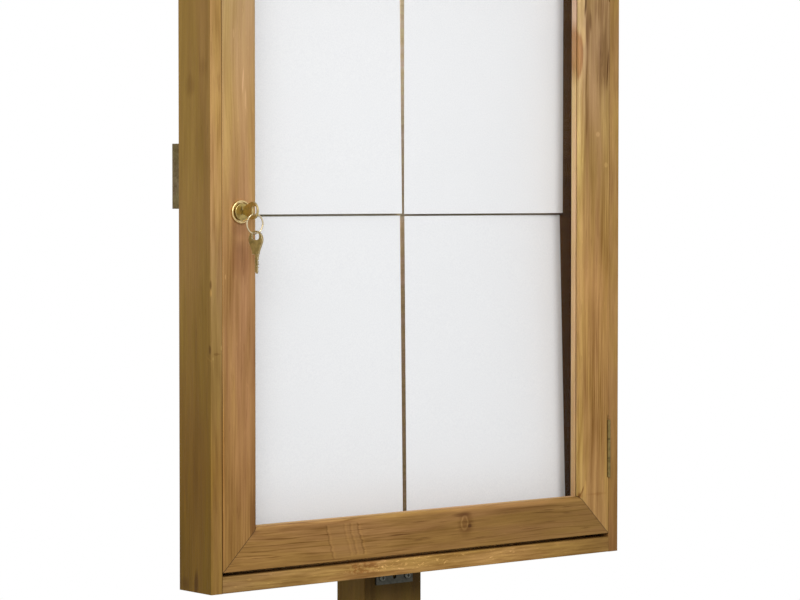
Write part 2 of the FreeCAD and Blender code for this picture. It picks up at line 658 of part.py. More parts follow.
hexagon = Part.makePolygon([
    at(LOCK_X + NUT_FLATS / math.sqrt(3) * math.cos(math.radians(60 * corner)), DOOR_BACK,
       LOCK_Z + NUT_FLATS / math.sqrt(3) * math.sin(math.radians(60 * corner)))
    for corner in range(7)])
nut = Part.Face(hexagon).extrude(Y_AXIS * NUT_THICKNESS)
keep("lock_nut", nut.cut(lock_rod(BARREL_RADIUS + FIT, 0, BARREL_END)))

key_seat = -PLUG_PROUD - KEY_STANDOFF
keyway = block(
    LOCK_X - KEY_BLADE_THICKNESS / 2 - KEY_CLEAR, LOCK_X + KEY_BLADE_THICKNESS / 2 + KEY_CLEAR,
    on_lock(-PLUG_PROUD - 1).y, on_lock(key_seat + KEY_BLADE_LENGTH + 2 * KEY_CLEAR).y,
    KEY_HEAD_Z - KEY_BLADE_DROP - KEY_BLADE_HALF - KEY_CLEAR,
    KEY_HEAD_Z - KEY_BLADE_DROP + KEY_BLADE_HALF + KEY_CLEAR)
plug = lock_rod(PLUG_RADIUS, -PLUG_PROUD, PLUG_STEP - PLUG_PLAY)
plug_rim = [edge for edge in plug.Edges if abs(edge.CenterOfMass.y - on_lock(-PLUG_PROUD).y) < 0.01]
plug = plug.makeFillet(PLUG_ROUND, plug_rim)
cam_seat = block(
    LOCK_X - CAM_SQUARE / 2, LOCK_X + CAM_SQUARE / 2, on_lock(CAM_START - 0.2).y,
    on_lock(CAM_START + CAM_THICKNESS).y, LOCK_Z - CAM_SQUARE / 2, LOCK_Z + CAM_SQUARE / 2)
plug = plug.fuse([lock_rod(PLUG_TAIL_RADIUS, PLUG_STEP - PLUG_PLAY, CAM_START), cam_seat])
cam_back = CAM_START + CAM_THICKNESS
cam_screw = pan_head(on_lock(cam_back), -Y_AXIS, *CAM_SCREW)
cam_screw_hole = pan_head(on_lock(cam_back), -Y_AXIS, *CAM_SCREW, FIT)
cam_screw_top = on_lock(cam_back + CAM_SCREW[0] * PAN_HEAD_RISE)
keep("lock_plug", cut(plug.removeSplitter(), [keyway, cam_screw_hole]))
keep("cam_screw", cut(cam_screw, cross_recess(cam_screw_top, -Y_AXIS, CAM_SCREW[0], CAM_SCREW_RECESS)))

cam_arm = block(
    LOCK_X - CAM_WIDTH / 2, LOCK_X + CAM_WIDTH / 2, on_lock(CAM_START).y, on_lock(cam_back).y,
    LOCK_Z - CAM_LENGTH, LOCK_Z)
cam = cam_arm.fuse(lock_rod(CAM_WIDTH / 2 + 2, CAM_START, cam_back)).removeSplitter()
cam_hole = block(
    LOCK_X - CAM_SQUARE / 2 - FIT, LOCK_X + CAM_SQUARE / 2 + FIT, on_lock(CAM_START - 1).y,
    on_lock(cam_back + 1).y, LOCK_Z - CAM_SQUARE / 2 - FIT, LOCK_Z + CAM_SQUARE / 2 + FIT)
keep("lock_cam", cam.cut(cam_hole))


# Keys. A key lies along Y with its shoulder at Y 0, its blade towards +Y and its flat
# head towards -Y, in the YZ plane.
def key_shape():
    head_centre = KEY_HEAD_RADIUS - KEY_HEAD_LENGTH
    half = KEY_HEAD_THICKNESS / 2
    disc = rod(at(-half, head_centre, 0), X_AXIS, KEY_HEAD_RADIUS, KEY_HEAD_THICKNESS)
    flank = head_centre + KEY_HEAD_RADIUS / 3
    flank_half = math.sqrt(KEY_HEAD_RADIUS ** 2 - (flank - head_centre) ** 2)
    corners = [(0, -KEY_NECK_HALF), (-KEY_NECK_LENGTH, -KEY_NECK_HALF), (flank, -flank_half),
               (flank, flank_half), (-KEY_NECK_LENGTH, KEY_NECK_HALF), (0, KEY_NECK_HALF)]
    shoulder = Part.makePolygon([at(-half, y, z) for y, z in corners + corners[:1]])
    head = disc.fuse(Part.Face(shoulder).extrude(X_AXIS * KEY_HEAD_THICKNESS)).removeSplitter()
    hole = Part.makeBox(
        KEY_HEAD_THICKNESS + 2, KEY_HOLE_ALONG, KEY_HOLE_ACROSS,
        at(-half - 1, KEY_HOLE_RIM - KEY_HEAD_LENGTH, -KEY_HOLE_ACROSS / 2))
    head = head.cut(ease(hole, X_AXIS, KEY_HOLE_CORNER))

    half = KEY_BLADE_THICKNESS / 2
    tip = KEY_BLADE_LENGTH
    outline = [(0, -KEY_BLADE_HALF)]
    for number, deep in enumerate(KEY_TOOTH_DEPTHS):
        start = KEY_TOOTH * (number + 1)
        outline += [(start - KEY_TOOTH / 6, -KEY_BLADE_HALF), (start + KEY_TOOTH / 6, deep - KEY_BLADE_HALF),
                    (start + KEY_TOOTH / 2, deep - KEY_BLADE_HALF)]
    outline += [(tip - KEY_BLADE_HALF, -KEY_BLADE_HALF / 2), (tip, 0),
                (tip, KEY_BLADE_HALF / 3), (tip - KEY_BLADE_HALF, KEY_BLADE_HALF), (0, KEY_BLADE_HALF)]
    edge = Part.makePolygon([at(-half, y, z - KEY_BLADE_DROP) for y, z in outline + outline[:1]])
    return head.fuse(Part.Face(edge).extrude(X_AXIS * KEY_BLADE_THICKNESS))


hole_from_shoulder = KEY_HEAD_LENGTH - KEY_HOLE_RIM - KEY_HOLE_ALONG / 2
lock_key = key_shape()
lock_key.Placement = FreeCAD.Placement(on_lock(key_seat) + Z_AXIS * KEY_HEAD_RISE, FreeCAD.Rotation())
keep("lock_key", lock_key)

ring_y = on_lock(key_seat - hole_from_shoulder).y
ring_pivot = KEY_HEAD_Z - KEY_HOLE_ACROSS / 2 + RING_WIRE + RING_CLEAR
ring_centre = at(LOCK_X, ring_y, ring_pivot - RING_RADIUS)
keep("key_ring", Part.makeTorus(RING_RADIUS, RING_WIRE, ring_centre, Y_AXIS))

spare_drop = math.sqrt(RING_RADIUS ** 2 - SPARE_SIDESTEP ** 2)
spare_pivot = at(LOCK_X + SPARE_SIDESTEP, ring_y, ring_centre.z - spare_drop)
wire_from_shoulder = KEY_HEAD_LENGTH - KEY_HOLE_RIM - RING_WIRE - RING_CLEAR
spare_seat = spare_pivot - Z_AXIS * wire_from_shoulder
hang = FreeCAD.Rotation(X_AXIS, -90)
turn = FreeCAD.Rotation(Z_AXIS, SPARE_TURN + 90)
spare_key = key_shape()
spare_key.Placement = FreeCAD.Placement(spare_seat, turn.multiply(hang))
keep("spare_key", spare_key)

os.makedirs("parts", exist_ok=True)
for name, shape in pieces.items():
    shape.exportStep("parts/%s.step" % name)

print("pieces", len(pieces))
print("case bottom %.1f, top %.1f, front %.1f" % (CASE_BOTTOM, CASE_TOP, CASE_FRONT))
print("hinge axis %.2f %.2f" % (HINGE_X, HINGE_Y))
print("lock axis %.2f %.2f" % (LOCK_X, LOCK_Z))
print("ring pivot %.2f %.2f %.2f" % (LOCK_X, ring_y, ring_pivot))
print("spare pivot %.2f %.2f %.2f" % (spare_pivot.x, spare_pivot.y, spare_pivot.z))
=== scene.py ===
import bpy
import math
from mathutils import Matrix, Vector


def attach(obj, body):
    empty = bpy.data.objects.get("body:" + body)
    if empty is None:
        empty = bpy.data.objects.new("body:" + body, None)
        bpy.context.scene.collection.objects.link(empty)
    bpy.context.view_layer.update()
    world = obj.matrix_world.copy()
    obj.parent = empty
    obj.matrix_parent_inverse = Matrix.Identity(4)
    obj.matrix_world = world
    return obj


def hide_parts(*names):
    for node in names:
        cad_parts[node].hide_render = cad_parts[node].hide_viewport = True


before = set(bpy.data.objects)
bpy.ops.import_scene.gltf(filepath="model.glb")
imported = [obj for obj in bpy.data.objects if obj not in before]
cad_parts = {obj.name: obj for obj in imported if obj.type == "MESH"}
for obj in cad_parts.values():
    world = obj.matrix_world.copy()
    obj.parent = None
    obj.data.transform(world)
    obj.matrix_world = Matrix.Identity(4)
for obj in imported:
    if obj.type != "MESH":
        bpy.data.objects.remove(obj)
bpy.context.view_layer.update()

# A wooden notice case on a post, with a glazed door, a brass cam lock and its keys.
# Metres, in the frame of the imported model: +X right, +Y into the board, +Z up.

CASE_LEFT = -0.256
CASE_FRONT = -0.072
CASE_BOTTOM = 1.3895
CASE_TOP = 2.0835
CASE_MIDDLE = Vector((0.0, -0.05, 1.75))
DOOR_HALF = 0.2425
DOOR_BOTTOM = 1.4087
DOOR_TOP = 2.0673
KNUCKLE_ENDS = (1.4852, 1.5046, 1.9714, 1.9908)
RING_MIDDLE = Vector((-0.2225, -0.094, 1.7267))
RING_RADIUS = 0.0089
RING_WIRE = 0.0007
RING_FLATNESS = 0.52
RING_TURNS = 2.05
FLOOR_RADIUS = 2.4
ROOM_LIGHT = 0.37


def shown(red, green, blue):
    """A colour as a screen shows it, 0 to 255, turned into the linear values that shaders use."""
    linear = []
    for level in (red, green, blue):
        share = level / 255
        linear.append(share / 12.92 if share <= 0.04045 else ((share + 0.055) / 1.055) ** 2.4)
    return (*linear, 1.0)


class Wire:
    """One output of a shader node. Sums on wires add Math nodes."""

    def __init__(self, finish, socket):
        self.finish = finish
        self.socket = socket

    def sum(self, operation, *values):
        """One Math node on the values, which are wires or numbers."""
        return self.finish.node("ShaderNodeMath", dict(enumerate(values)), operation=operation)

    def __add__(self, other):
        return self.sum("ADD", self, other)

    def __radd__(self, other):
        return self.sum("ADD", other, self)

    def __sub__(self, other):
        return self.sum("SUBTRACT", self, other)

    def __rsub__(self, other):
        return self.sum("SUBTRACT", other, self)

    def __mul__(self, other):
        return self.sum("MULTIPLY", self, other)

    def __rmul__(self, other):
        return self.sum("MULTIPLY", other, self)

    def __truediv__(self, other):
        return self.sum("DIVIDE", self, other)

    def __abs__(self):
        return self.sum("ABSOLUTE", self)

    def fraction(self):
        return self.sum("FRACT", self)

    def root(self):
        return self.sum("SQRT", self)

    def smaller(self, other):
        return self.sum("MINIMUM", self, other)

    def rise(self, start, end):
        """0 before start and 1 after end, smooth between; end may be below start."""
        low, high = min(start, end), max(start, end)
        flip = start > end
        values = {"Value": self, "From Min": low, "From Max": high,
                  "To Min": 1.0 if flip else 0.0, "To Max": 0.0 if flip else 1.0}
        return self.finish.node("ShaderNodeMapRange", values, interpolation_type="SMOOTHSTEP")


class Finish:
    """A material, its nodes, and the one Principled shader that they feed."""

    def __init__(self, name, **constants):
        self.material = bpy.data.materials.new(name)
        self.material.use_nodes = True
        self.tree = self.material.node_tree
        self.shader = self.tree.nodes["Principled BSDF"]
        for socket, value in constants.items():
            self.shader.inputs[socket.replace("_", " ")].default_value = value
        place = self.node("ShaderNodeTexCoord", {}, output="Object")
        split = self.tree.nodes.new("ShaderNodeSeparateXYZ")
        self.tree.links.new(place.socket, split.inputs[0])
        self.x, self.y, self.z = (Wire(self, socket) for socket in split.outputs)

    def node(self, kind, values, output=0, stops=None, **settings):
        """Adds a node, gives it its settings, a ramp's stops, and its sockets' values or wires."""
        made = self.tree.nodes.new(kind)
        for key, value in settings.items():
            setattr(made, key, value)
        if stops:
            ramp = made.color_ramp
            while len(ramp.elements) < len(stops):
                ramp.elements.new(0.5)
            for element, (position, colour) in zip(ramp.elements, stops):
                element.position = position
                element.color = colour
        for key, value in values.items():
            if isinstance(value, Wire):
                self.tree.links.new(value.socket, made.inputs[key])
            else:
                made.inputs[key].default_value = value
        return Wire(self, made.outputs[output])

    def vector(self, x, y, z):
        """Three wires or numbers as one vector."""
        return self.node("ShaderNodeCombineXYZ", {0: x, 1: y, 2: z})

    def noise(self, vector, detail=2.0, roughness=0.5):
        """Clouds about as large as one step of the vector, round 0.5."""
        values = {"Vector": vector, "Scale": 1.0, "Detail": detail, "Roughness": roughness}
        return self.node("ShaderNodeTexNoise", values)

    def mix(self, share, colour_a, colour_b, blend="MIX"):
        """Colour a where the share is 0 and colour b, or their blend, where it is 1."""
        values = {0: share, 6: colour_a, 7: colour_b}
        return self.node("ShaderNodeMix", values, output=2, data_type="RGBA", blend_type=blend)

    def toned(self, colour, tone):
        """The colour times a tone, which is three numbers or another colour's wire."""
        return self.mix(1.0, colour, tone if isinstance(tone, Wire) else (*tone, 1.0), "MULTIPLY")

    def ramp(self, share, stops):
        """The colour at a share, between (share, colour) stops."""
        return self.node("ShaderNodeValToRGB", {0: share}, stops=stops)

    def feed(self, **wires):
        """Links wires to the shader's sockets, whose names are written with _ for a space."""
        for socket, wire in wires.items():
            self.tree.links.new(wire.socket, self.shader.inputs[socket.replace("_", " ")])

    def edges(self, radius, start, end):
        """1 on edges that turn sharply within the radius, 0 on flat faces."""
        soft = self.node("ShaderNodeBevel", {"Radius": radius}, samples=4)
        flat = self.node("ShaderNodeNewGeometry", {}, output="Normal")
        facing = self.node(
            "ShaderNodeVectorMath", {0: soft, 1: flat}, output="Value", operation="DOT_PRODUCT")
        return facing.rise(start, end)

    def bump(self, height, distance, soften=None):
        """Relief of a height pattern. soften is the radius that sharp edges are shaded over."""
        values = {"Height": height, "Distance": distance, "Strength": 1.0}
        if soften:
            values["Normal"] = self.node("ShaderNodeBevel", {"Radius": soften}, samples=4)
        self.feed(Normal=self.node("ShaderNodeBump", values))


# Tones that the wood's colour is multiplied by, and the colour of the mitres' lines
PINKER = (1.02, 0.99, 1.09)
YELLOWER = (0.985, 1.01, 0.87)
DASH = (0.52, 0.42, 0.34)
FLECK = (1.45, 1.45, 1.40)
CRACK = (0.50, 0.42, 0.35)
BESIDE_CRACK = (1.35, 1.35, 1.25)
TORN_HOLE = (0.66, 0.50, 0.36)
TORN_CHIP = (1.75, 1.82, 2.20)
RUBBED = (1.30, 1.28, 1.22)
DARK = (0.55, 0.48, 0.42)
SMUDGE = (0.72, 0.66, 0.62)
MITRE_LINE = (0.035, 0.018, 0.008, 1.0)


def spot(along, across, long, wide, tone, turn=0.0, soft=0.35, ragged=0.6, into=None):
    """A mark on a board: an ellipse at a place along and across the grain, turned in degrees.

    long and wide are its half sizes. tone multiplies the wood's colour, so values under 1 darken
    and values over 1 lighten. soft and ragged say how far its edge fades and wanders. into is a
    place and a half depth into the board, for a mark that shows on one face only."""
    return {"along": along, "across": across, "long": long, "wide": wide, "tone": tone,
            "turn": math.radians(turn), "soft": soft, "ragged": ragged, "into": into}


def wood(name, axes, tones, pith, ring=0.0030, rings=0.18, late=(0.15, 0.85),
         streaks=(0.34, 0.34, 0.34, 0.24), dashes=0.22, flecks=0.18, rough=0.62, bump=0.00020,
         sway=0.0016, liven=None, calm=None, dash=(0.0012, 0.018), reach=1.0, marks=(), splice=None,
         torn=None, reverse=None, mitred=False):
    """Oiled softwood. axes names the axis along the grain, the one across it and the one into
    the board, and tones are (place along the grain, colour) pairs.

    pith is where the trunk's middle passes, across the board and into it, ring the year rings'
    spacing, late the part of a ring over which it darkens, and sway how far the rings wander.
    The rings, the streaks of four widths, the dark dashes and the pale flecks each have a
    strength. dash is the width and length of the dark dashes, and reach how much longer than
    usual the streaks are.

    liven is two (place along, strength) pairs between which the streaks' strength changes, and
    calm a place across the board beyond which they are weaker, and how weak. marks are spots.
    splice has the place, size, slant and colour of a piece let into the board. torn is the zone
    (along from, to, across from, to, worst place) where the saw has torn the fibres up. reverse
    is a depth in the board and the colour of the face behind it. mitred draws the dark lines of
    the door's corner joints. rough is the roughness and bump the depth of the relief."""
    board = Finish(name, Specular_IOR_Level=0.14)
    along, across, into = (getattr(board, axis) for axis in axes)

    # The grain wanders a little from side to side along the board
    wander = board.noise(board.vector(across * 5, into * 5, along * 4)) - 0.5
    side = across + wander * 0.010
    deep = into + wander * 0.006

    def grain(width, length, detail=2.0, shift=0.0):
        return board.noise(board.vector(side / width + shift, deep / width, along / length), detail, 0.55)

    # Year rings round the pith
    ring_side = side - pith[0] + (grain(0.11, 0.24, shift=7.0) - 0.5) * sway * 4
    ring_deep = deep - pith[1]
    radius = (ring_side * ring_side + ring_deep * ring_deep).root()
    year = (radius / ring + grain(0.012, 0.15) * 1.6).fraction()
    line = year.rise(*late) * year.rise(1.0, 0.90) * grain(0.020, 0.12, shift=3.0).rise(0.35, 0.70)

    blotches = grain(0.024, 0.090 * reach, shift=5.0)
    broad = grain(0.0090, 0.110 * reach, shift=11.0)
    middle = grain(0.0042, 0.055 * reach)
    fine = grain(0.0015, 0.026 * reach, detail=3.0)

    # The colour along the board, a second hue in broad patches, and the streaks' light and dark
    first, last = tones[0][0], tones[-1][0]
    share = (along - first) / (last - first)
    colour = board.ramp(share, [((place - first) / (last - first), tone) for place, tone in tones])
    if reverse:
        colour = board.mix(into.rise(reverse[0], reverse[0] + 0.001), colour, reverse[1])
    hue = grain(0.0130, 0.090 * reach, shift=17.0).rise(0.30, 0.70)
    colour = board.toned(colour, board.mix(hue, (*PINKER, 1.0), (*YELLOWER, 1.0)))
    shade = line * -rings
    for pattern, strength in zip((blotches, broad, middle, fine), streaks):
        shade = shade + (pattern - 0.5) * strength * 2
    if liven:
        (start, strength), (end, last_strength) = liven
        shade = shade * (along.rise(start, end) * (last_strength - strength) + strength)
    if calm:
        shade = shade * (across.rise(calm[0] + 0.0008, calm[0]) * (1 - calm[1]) + calm[1])
    colour = board.toned(colour, board.node(
        "ShaderNodeCombineColor", {0: shade * 0.85 + 1, 1: shade + 1, 2: shade * 1.3 + 1}))

    # Dark dashes in clusters, and pale flecks
    strokes = grain(*dash, detail=1.0, shift=23.0).rise(0.60, 0.74)
    clusters = grain(0.015, 0.060, shift=29.0).rise(0.42, 0.62)
    colour = board.mix(strokes * clusters * dashes * 2, colour, board.toned(colour, DASH))
    glints = grain(0.0010, 0.009, detail=1.0, shift=31.0).rise(0.66, 0.76)
    colour = board.mix(glints * flecks * 2, colour, board.toned(colour, FLECK))

    for mark in marks:
        colour = marked(board, mark, along, across, into, colour, middle)
    if torn:
        colour = torn_up(board, torn, along, across, into, colour)
    if splice:
        colour = let_in(board, splice, along, across, colour, middle)
    if mitred:
        from_side = DOOR_HALF - abs(board.x)
        from_end = (board.z - DOOR_BOTTOM).smaller(DOOR_TOP - board.z)
        joint = abs(from_side - from_end).rise(0.0007, 0.0002)
        colour = board.mix(joint * 0.8, colour, MITRE_LINE)

    # Edges that hands and weather have rubbed are a little paler
    pale_edges = board.edges(0.0012, 0.985, 0.86)
    worn = pale_edges * grain(0.006, 0.030, detail=3.0, shift=37.0).rise(0.36, 0.60)
    colour = board.mix(worn * 0.6, colour, board.toned(colour, RUBBED))
    board.feed(Base_Color=colour, Roughness=rough + (fine - 0.5) * 0.3 + line * 0.08)
    board.bump(fine * 0.6 + middle * 0.8 + strokes * -0.4 + line * 0.3, bump, soften=0.0009)
    return board.material


def marked(board, mark, along, across, into, colour, ragged):
    """The colour with one spot on it."""
    off_along, off_across = along - mark["along"], across - mark["across"]
    cosine, sine = math.cos(mark["turn"]), math.sin(mark["turn"])
    far_along = (off_along * cosine + off_across * sine) / mark["long"]
    far_across = (off_across * cosine - off_along * sine) / mark["wide"]
    far = far_along * far_along + far_across * far_across
    if mark["into"]:
        far_into = (into - mark["into"][0]) / mark["into"][1]
        far = far + far_into * far_into
    far = far.root() + (ragged - 0.5) * mark["ragged"] * 2
    inside = far.rise(1.0 + mark["soft"], 1.0 - mark["soft"])
    return board.mix(inside, colour, board.toned(colour, mark["tone"]))


def torn_up(board, torn, along, across, into, colour):
    """Fibres torn up by the saw: golden chips in patches, and brown holes at the worst place."""
    start, end, low, high, worst = torn
    zone = along.rise(start, start + 0.03) * along.rise(end, end - 0.03)
    zone = zone * abs(across - (low + high) / 2).rise((high - low) / 2, (high - low) / 3)
    patches = board.noise(board.vector(along / 0.018, across / 0.009, into / 0.008)).rise(0.50, 0.62)
    patches = patches + abs(along - worst - 0.045).rise(0.080, 0.045) * 0.7
    curls = (board.noise(board.vector(along / 0.010, across / 0.010, into / 0.01)) - 0.5) * 0.012
    chips = board.noise(board.vector(along / 0.0056, (across + curls) / 0.0012, into / 0.002), detail=2.0)
    holes = board.noise(board.vector(along / 0.0060 + 9, across / 0.0040, into / 0.002), detail=3.0)
    near_worst = abs(along - worst).rise(0.026, 0.010)
    holes = holes.rise(0.42, 0.56) * zone * near_worst * 0.8
    colour = board.mix(holes, colour, board.toned(colour, TORN_HOLE))
    return board.mix(chips.rise(0.56, 0.66) * patches * zone, colour, board.toned(colour, TORN_CHIP))


def let_in(board, splice, along, across, colour, ragged):
    """A piece let into a board: slanted joints at its ends, two fainter cracks, and paler wood."""
    slanted = along - splice["middle"] - (across - splice["height"]) * splice["slant"]
    slanted = slanted + (ragged - 0.5) * 0.0065
    rise = abs(across - splice["height"]) / splice["half_height"] + (ragged - 0.5) * 0.6
    within = rise.rise(1.05, 0.95)
    piece = abs(slanted).rise(splice["half_length"], splice["half_length"] * 0.97) * within
    colour = board.mix(piece * 0.5, colour, splice["tone"])
    for place, strength in ((-1.0, 0.4), (0.10, 0.16), (0.50, 0.32), (1.0, 0.5)):
        joint = abs(slanted - splice["half_length"] * place).rise(0.0017, 0.0002) * within
        colour = board.mix(joint * strength, colour, board.toned(colour, CRACK))
        beside = abs(slanted - splice["half_length"] * place - 0.0026).rise(0.0018, 0.0002) * within
        colour = board.mix(beside * 0.35, colour, board.toned(colour, BESIDE_CRACK))
    return colour


def brass(name, tone, dulled, roughness, pale_edges=0.5, joints=()):
    """Dulled brass, its edges paler by a share, partly worn bright and partly a painted highlight, and
    joints the heights of the dark lines between a hinge's knuckles."""
    metal = Finish(name, Metallic=1.0)
    cloud = metal.noise(metal.vector(metal.x * 260, metal.y * 260, metal.z * 260), detail=3.0)
    scratches = metal.noise(metal.vector(metal.x * 3000, metal.y * 500, metal.z * 900), detail=2.0)
    tarnish = cloud.rise(0.42, 0.72)
    colour = metal.mix(tarnish * 0.6, tone, dulled)
    # Pale edges: worn bright, and partly a painted highlight on the keys' rims
    colour = metal.mix(metal.edges(0.0005, 0.99, 0.85) * pale_edges, colour, shown(250, 236, 204))
    for place in joints:
        line = abs(metal.z - place).rise(0.0008, 0.0003)
        colour = metal.mix(line * 0.8, colour, shown(58, 46, 26))
    metal.feed(Base_Color=colour, Roughness=roughness + tarnish * 0.16 + (scratches - 0.5) * 0.12)
    metal.bump(scratches, 0.00004, soften=0.0003)
    return metal.material


def steel(name, tone, dark, roughness, spangle=180.0):
    """Zinc on steel. spangle is how many of its crystals lie on a metre."""
    metal = Finish(name, Metallic=0.9)
    place = metal.vector(metal.x * spangle, metal.y * spangle, metal.z * spangle)
    crystals = metal.node("ShaderNodeTexVoronoi", {"Vector": place, "Scale": 1.0}, output="Distance")
    cloud = metal.noise(place, detail=4.0)
    share = crystals * 0.6 + (cloud - 0.5) * 0.9
    metal.feed(Base_Color=metal.mix(share, tone, dark), Roughness=roughness + (cloud - 0.5) * 0.25)
    metal.bump(cloud, 0.00006, soften=0.0003)
    return metal.material


def paper(name):
    """White paper, very slightly cockled."""
    sheet = Finish(name, Roughness=0.62, Specular_IOR_Level=0.25)
    pulp = sheet.noise(sheet.vector(sheet.x * 700, sheet.y * 700, sheet.z * 700), detail=3.0)
    cockle = sheet.noise(sheet.vector(sheet.x * 16, sheet.y * 4, sheet.z * 11), detail=2.0)
    colour = sheet.ramp(pulp, [(0.3, shown(236, 237, 239)), (0.7, shown(242, 243, 244))])
    sheet.feed(Base_Color=colour)
    sheet.bump(pulp * 0.06 + cockle, 0.0006)
    return sheet.material


def pane(name):
    """Clear glass: almost all of it lets light straight through, and the rest is a mirror."""
    glass = Finish(name, Base_Color=(1.0, 1.0, 1.0, 1.0), Metallic=1.0)
    cloud = glass.noise(glass.vector(glass.x * 9, glass.y * 9, glass.z * 9), detail=3.0)
    gloss = glass.node("ShaderNodeFresnel", {"IOR": 1.12})
    glass.feed(Alpha=gloss + cloud.rise(0.5, 0.9) * 0.004, Roughness=0.02 + cloud * 0.03)
    return glass.material


def putty(name):
    """Dots of grey putty that hold the sheets."""
    dot = Finish(name, Base_Color=shown(215, 219, 222), Roughness=0.7)
    lumps = dot.noise(dot.vector(dot.x * 420, dot.y * 420, dot.z * 420), detail=3.0)
    dot.bump(lumps, 0.0004, soften=0.0008)
    return dot.material


def finish_nodes(material, *names):
    """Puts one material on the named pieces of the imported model."""
    for name in names:
        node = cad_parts[name]
        node.data.materials.clear()
        node.data.materials.append(material)


# Case: oiled softwood, darker and greener than the door. The marks on the left side's front edge
# are centred a little in front of it.
FRONT_EDGE = CASE_FRONT - 0.0004
finish_nodes(
    wood("case_left_side_wood", "zyx", [
        (CASE_BOTTOM, shown(114, 84, 26)), (1.50, shown(124, 91, 32)), (1.70, shown(152, 118, 60)),
        (CASE_TOP, shown(155, 119, 61))],
        pith=(0.25, -0.25), rings=0.06, streaks=(0.42, 0.34, 0.36, 0.28), dashes=0.16, flecks=0.12,
        calm=(-0.0718, 0.60), reach=1.4,
        marks=[
            # The front edge, paler than the side, and unevenly so
            spot(1.6000, FRONT_EDGE, 0.6000, 0.0009, (1.36, 1.38, 2.05), soft=0.2, ragged=0.1),
            spot(1.6150, FRONT_EDGE, 0.0900, 0.0012, (0.80, 0.82, 0.84), soft=0.5, ragged=0.2),
            spot(1.8000, FRONT_EDGE, 0.0700, 0.0012, (1.11, 1.11, 1.06), soft=0.5, ragged=0.2),
            spot(1.9700, FRONT_EDGE, 0.1300, 0.0012, (0.82, 0.80, 0.68), soft=0.5, ragged=0.2),
            spot(1.4200, FRONT_EDGE, 0.0700, 0.0012, (1.02, 1.04, 1.25), soft=0.5, ragged=0.2),
            # Scratches and chips on the front edge
            spot(1.6035, -0.0700, 0.0060, 0.0006, (1.2, 1.2, 1.2), turn=60.0, into=(CASE_LEFT, 0.001)),
            spot(1.6085, CASE_FRONT, 0.0009, 0.0010, (0.78, 0.72, 0.66), ragged=1.4, into=(-0.2490, 0.004)),
            spot(1.6140, CASE_FRONT, 0.0022, 0.0010, (1.35, 1.4, 1.5), ragged=0.4, into=(-0.2441, 0.0008)),
            spot(1.6045, CASE_FRONT, 0.0016, 0.0010, (1.25, 1.3, 1.4), ragged=0.4, into=(-0.2535, 0.0008)),
            spot(1.6716, CASE_FRONT, 0.0032, 0.0012, (0.60, 0.54, 0.48), ragged=1.8,
                 into=(CASE_LEFT, 0.0012)),
            spot(1.6640, CASE_FRONT, 0.0026, 0.0010, (1.35, 1.30, 1.2), ragged=1.8,
                 into=(CASE_LEFT, 0.0010)),
            spot(1.6126, -0.0707, 0.0040, 0.0012, (0.60, 0.52, 0.45), ragged=1.4, into=(CASE_LEFT, 0.0020)),
            # Painted shade along the gap beside the door, low down on the case's inner face, then stains on
            # the side
            spot(1.4900, CASE_FRONT, 0.0950, 0.0050, (0.45, 0.34, 0.26), soft=0.2, ragged=0.2,
                 into=(-0.2434, 0.0007)),
            spot(1.8519, -0.0410, 0.0085, 0.0060, (0.80, 0.76, 0.72), soft=0.8, ragged=1.2),
            spot(1.8690, -0.0600, 0.0075, 0.0050, (0.87, 0.84, 0.80), soft=0.8, ragged=1.0),
            spot(1.3983, -0.0482, 0.0090, 0.0040, DARK, soft=0.6, ragged=1.2),
            spot(1.3960, -0.0300, 0.0060, 0.0050, SMUDGE, soft=0.6, ragged=1.2),
            spot(1.4685, -0.0312, 0.0170, 0.0007, (1.30, 1.28, 1.20), soft=0.4, ragged=0.8)]),
    "case_side_left")
finish_nodes(
    wood("case_right_side_wood", "zxy", [
        (CASE_BOTTOM, shown(132, 95, 48)), (1.60, shown(162, 123, 71)), (1.80, shown(162, 125, 72)),
        (CASE_TOP, shown(146, 114, 61))],
        pith=(0.45, -0.05), rings=0.12),
    "case_side_right")
finish_nodes(
    wood("case_rail_wood", "xzy", [
        (-0.243, shown(145, 111, 64)), (-0.05, shown(172, 131, 75)), (0.12, shown(164, 125, 66)),
        (0.243, shown(133, 98, 53))],
        pith=(1.2, -0.05), ring=0.004, rings=0.18, streaks=(0.5, 0.5, 0.5, 0.5), dashes=0.20, flecks=0.30,
        torn=(-0.20, 0.15, 1.3935, 1.4062, -0.0780),
        marks=[
            # Stains along the lower edge and at the left end
            spot(-0.075, 1.3925, 0.060, 0.0022, (0.70, 0.64, 0.55), soft=0.5),
            spot(-0.185, 1.3990, 0.030, 0.0025, (0.88, 0.84, 0.78), soft=0.6)]),
    "case_bottom", "case_top", "corner_dowels", "door_stop_lower", "door_stop_upper")

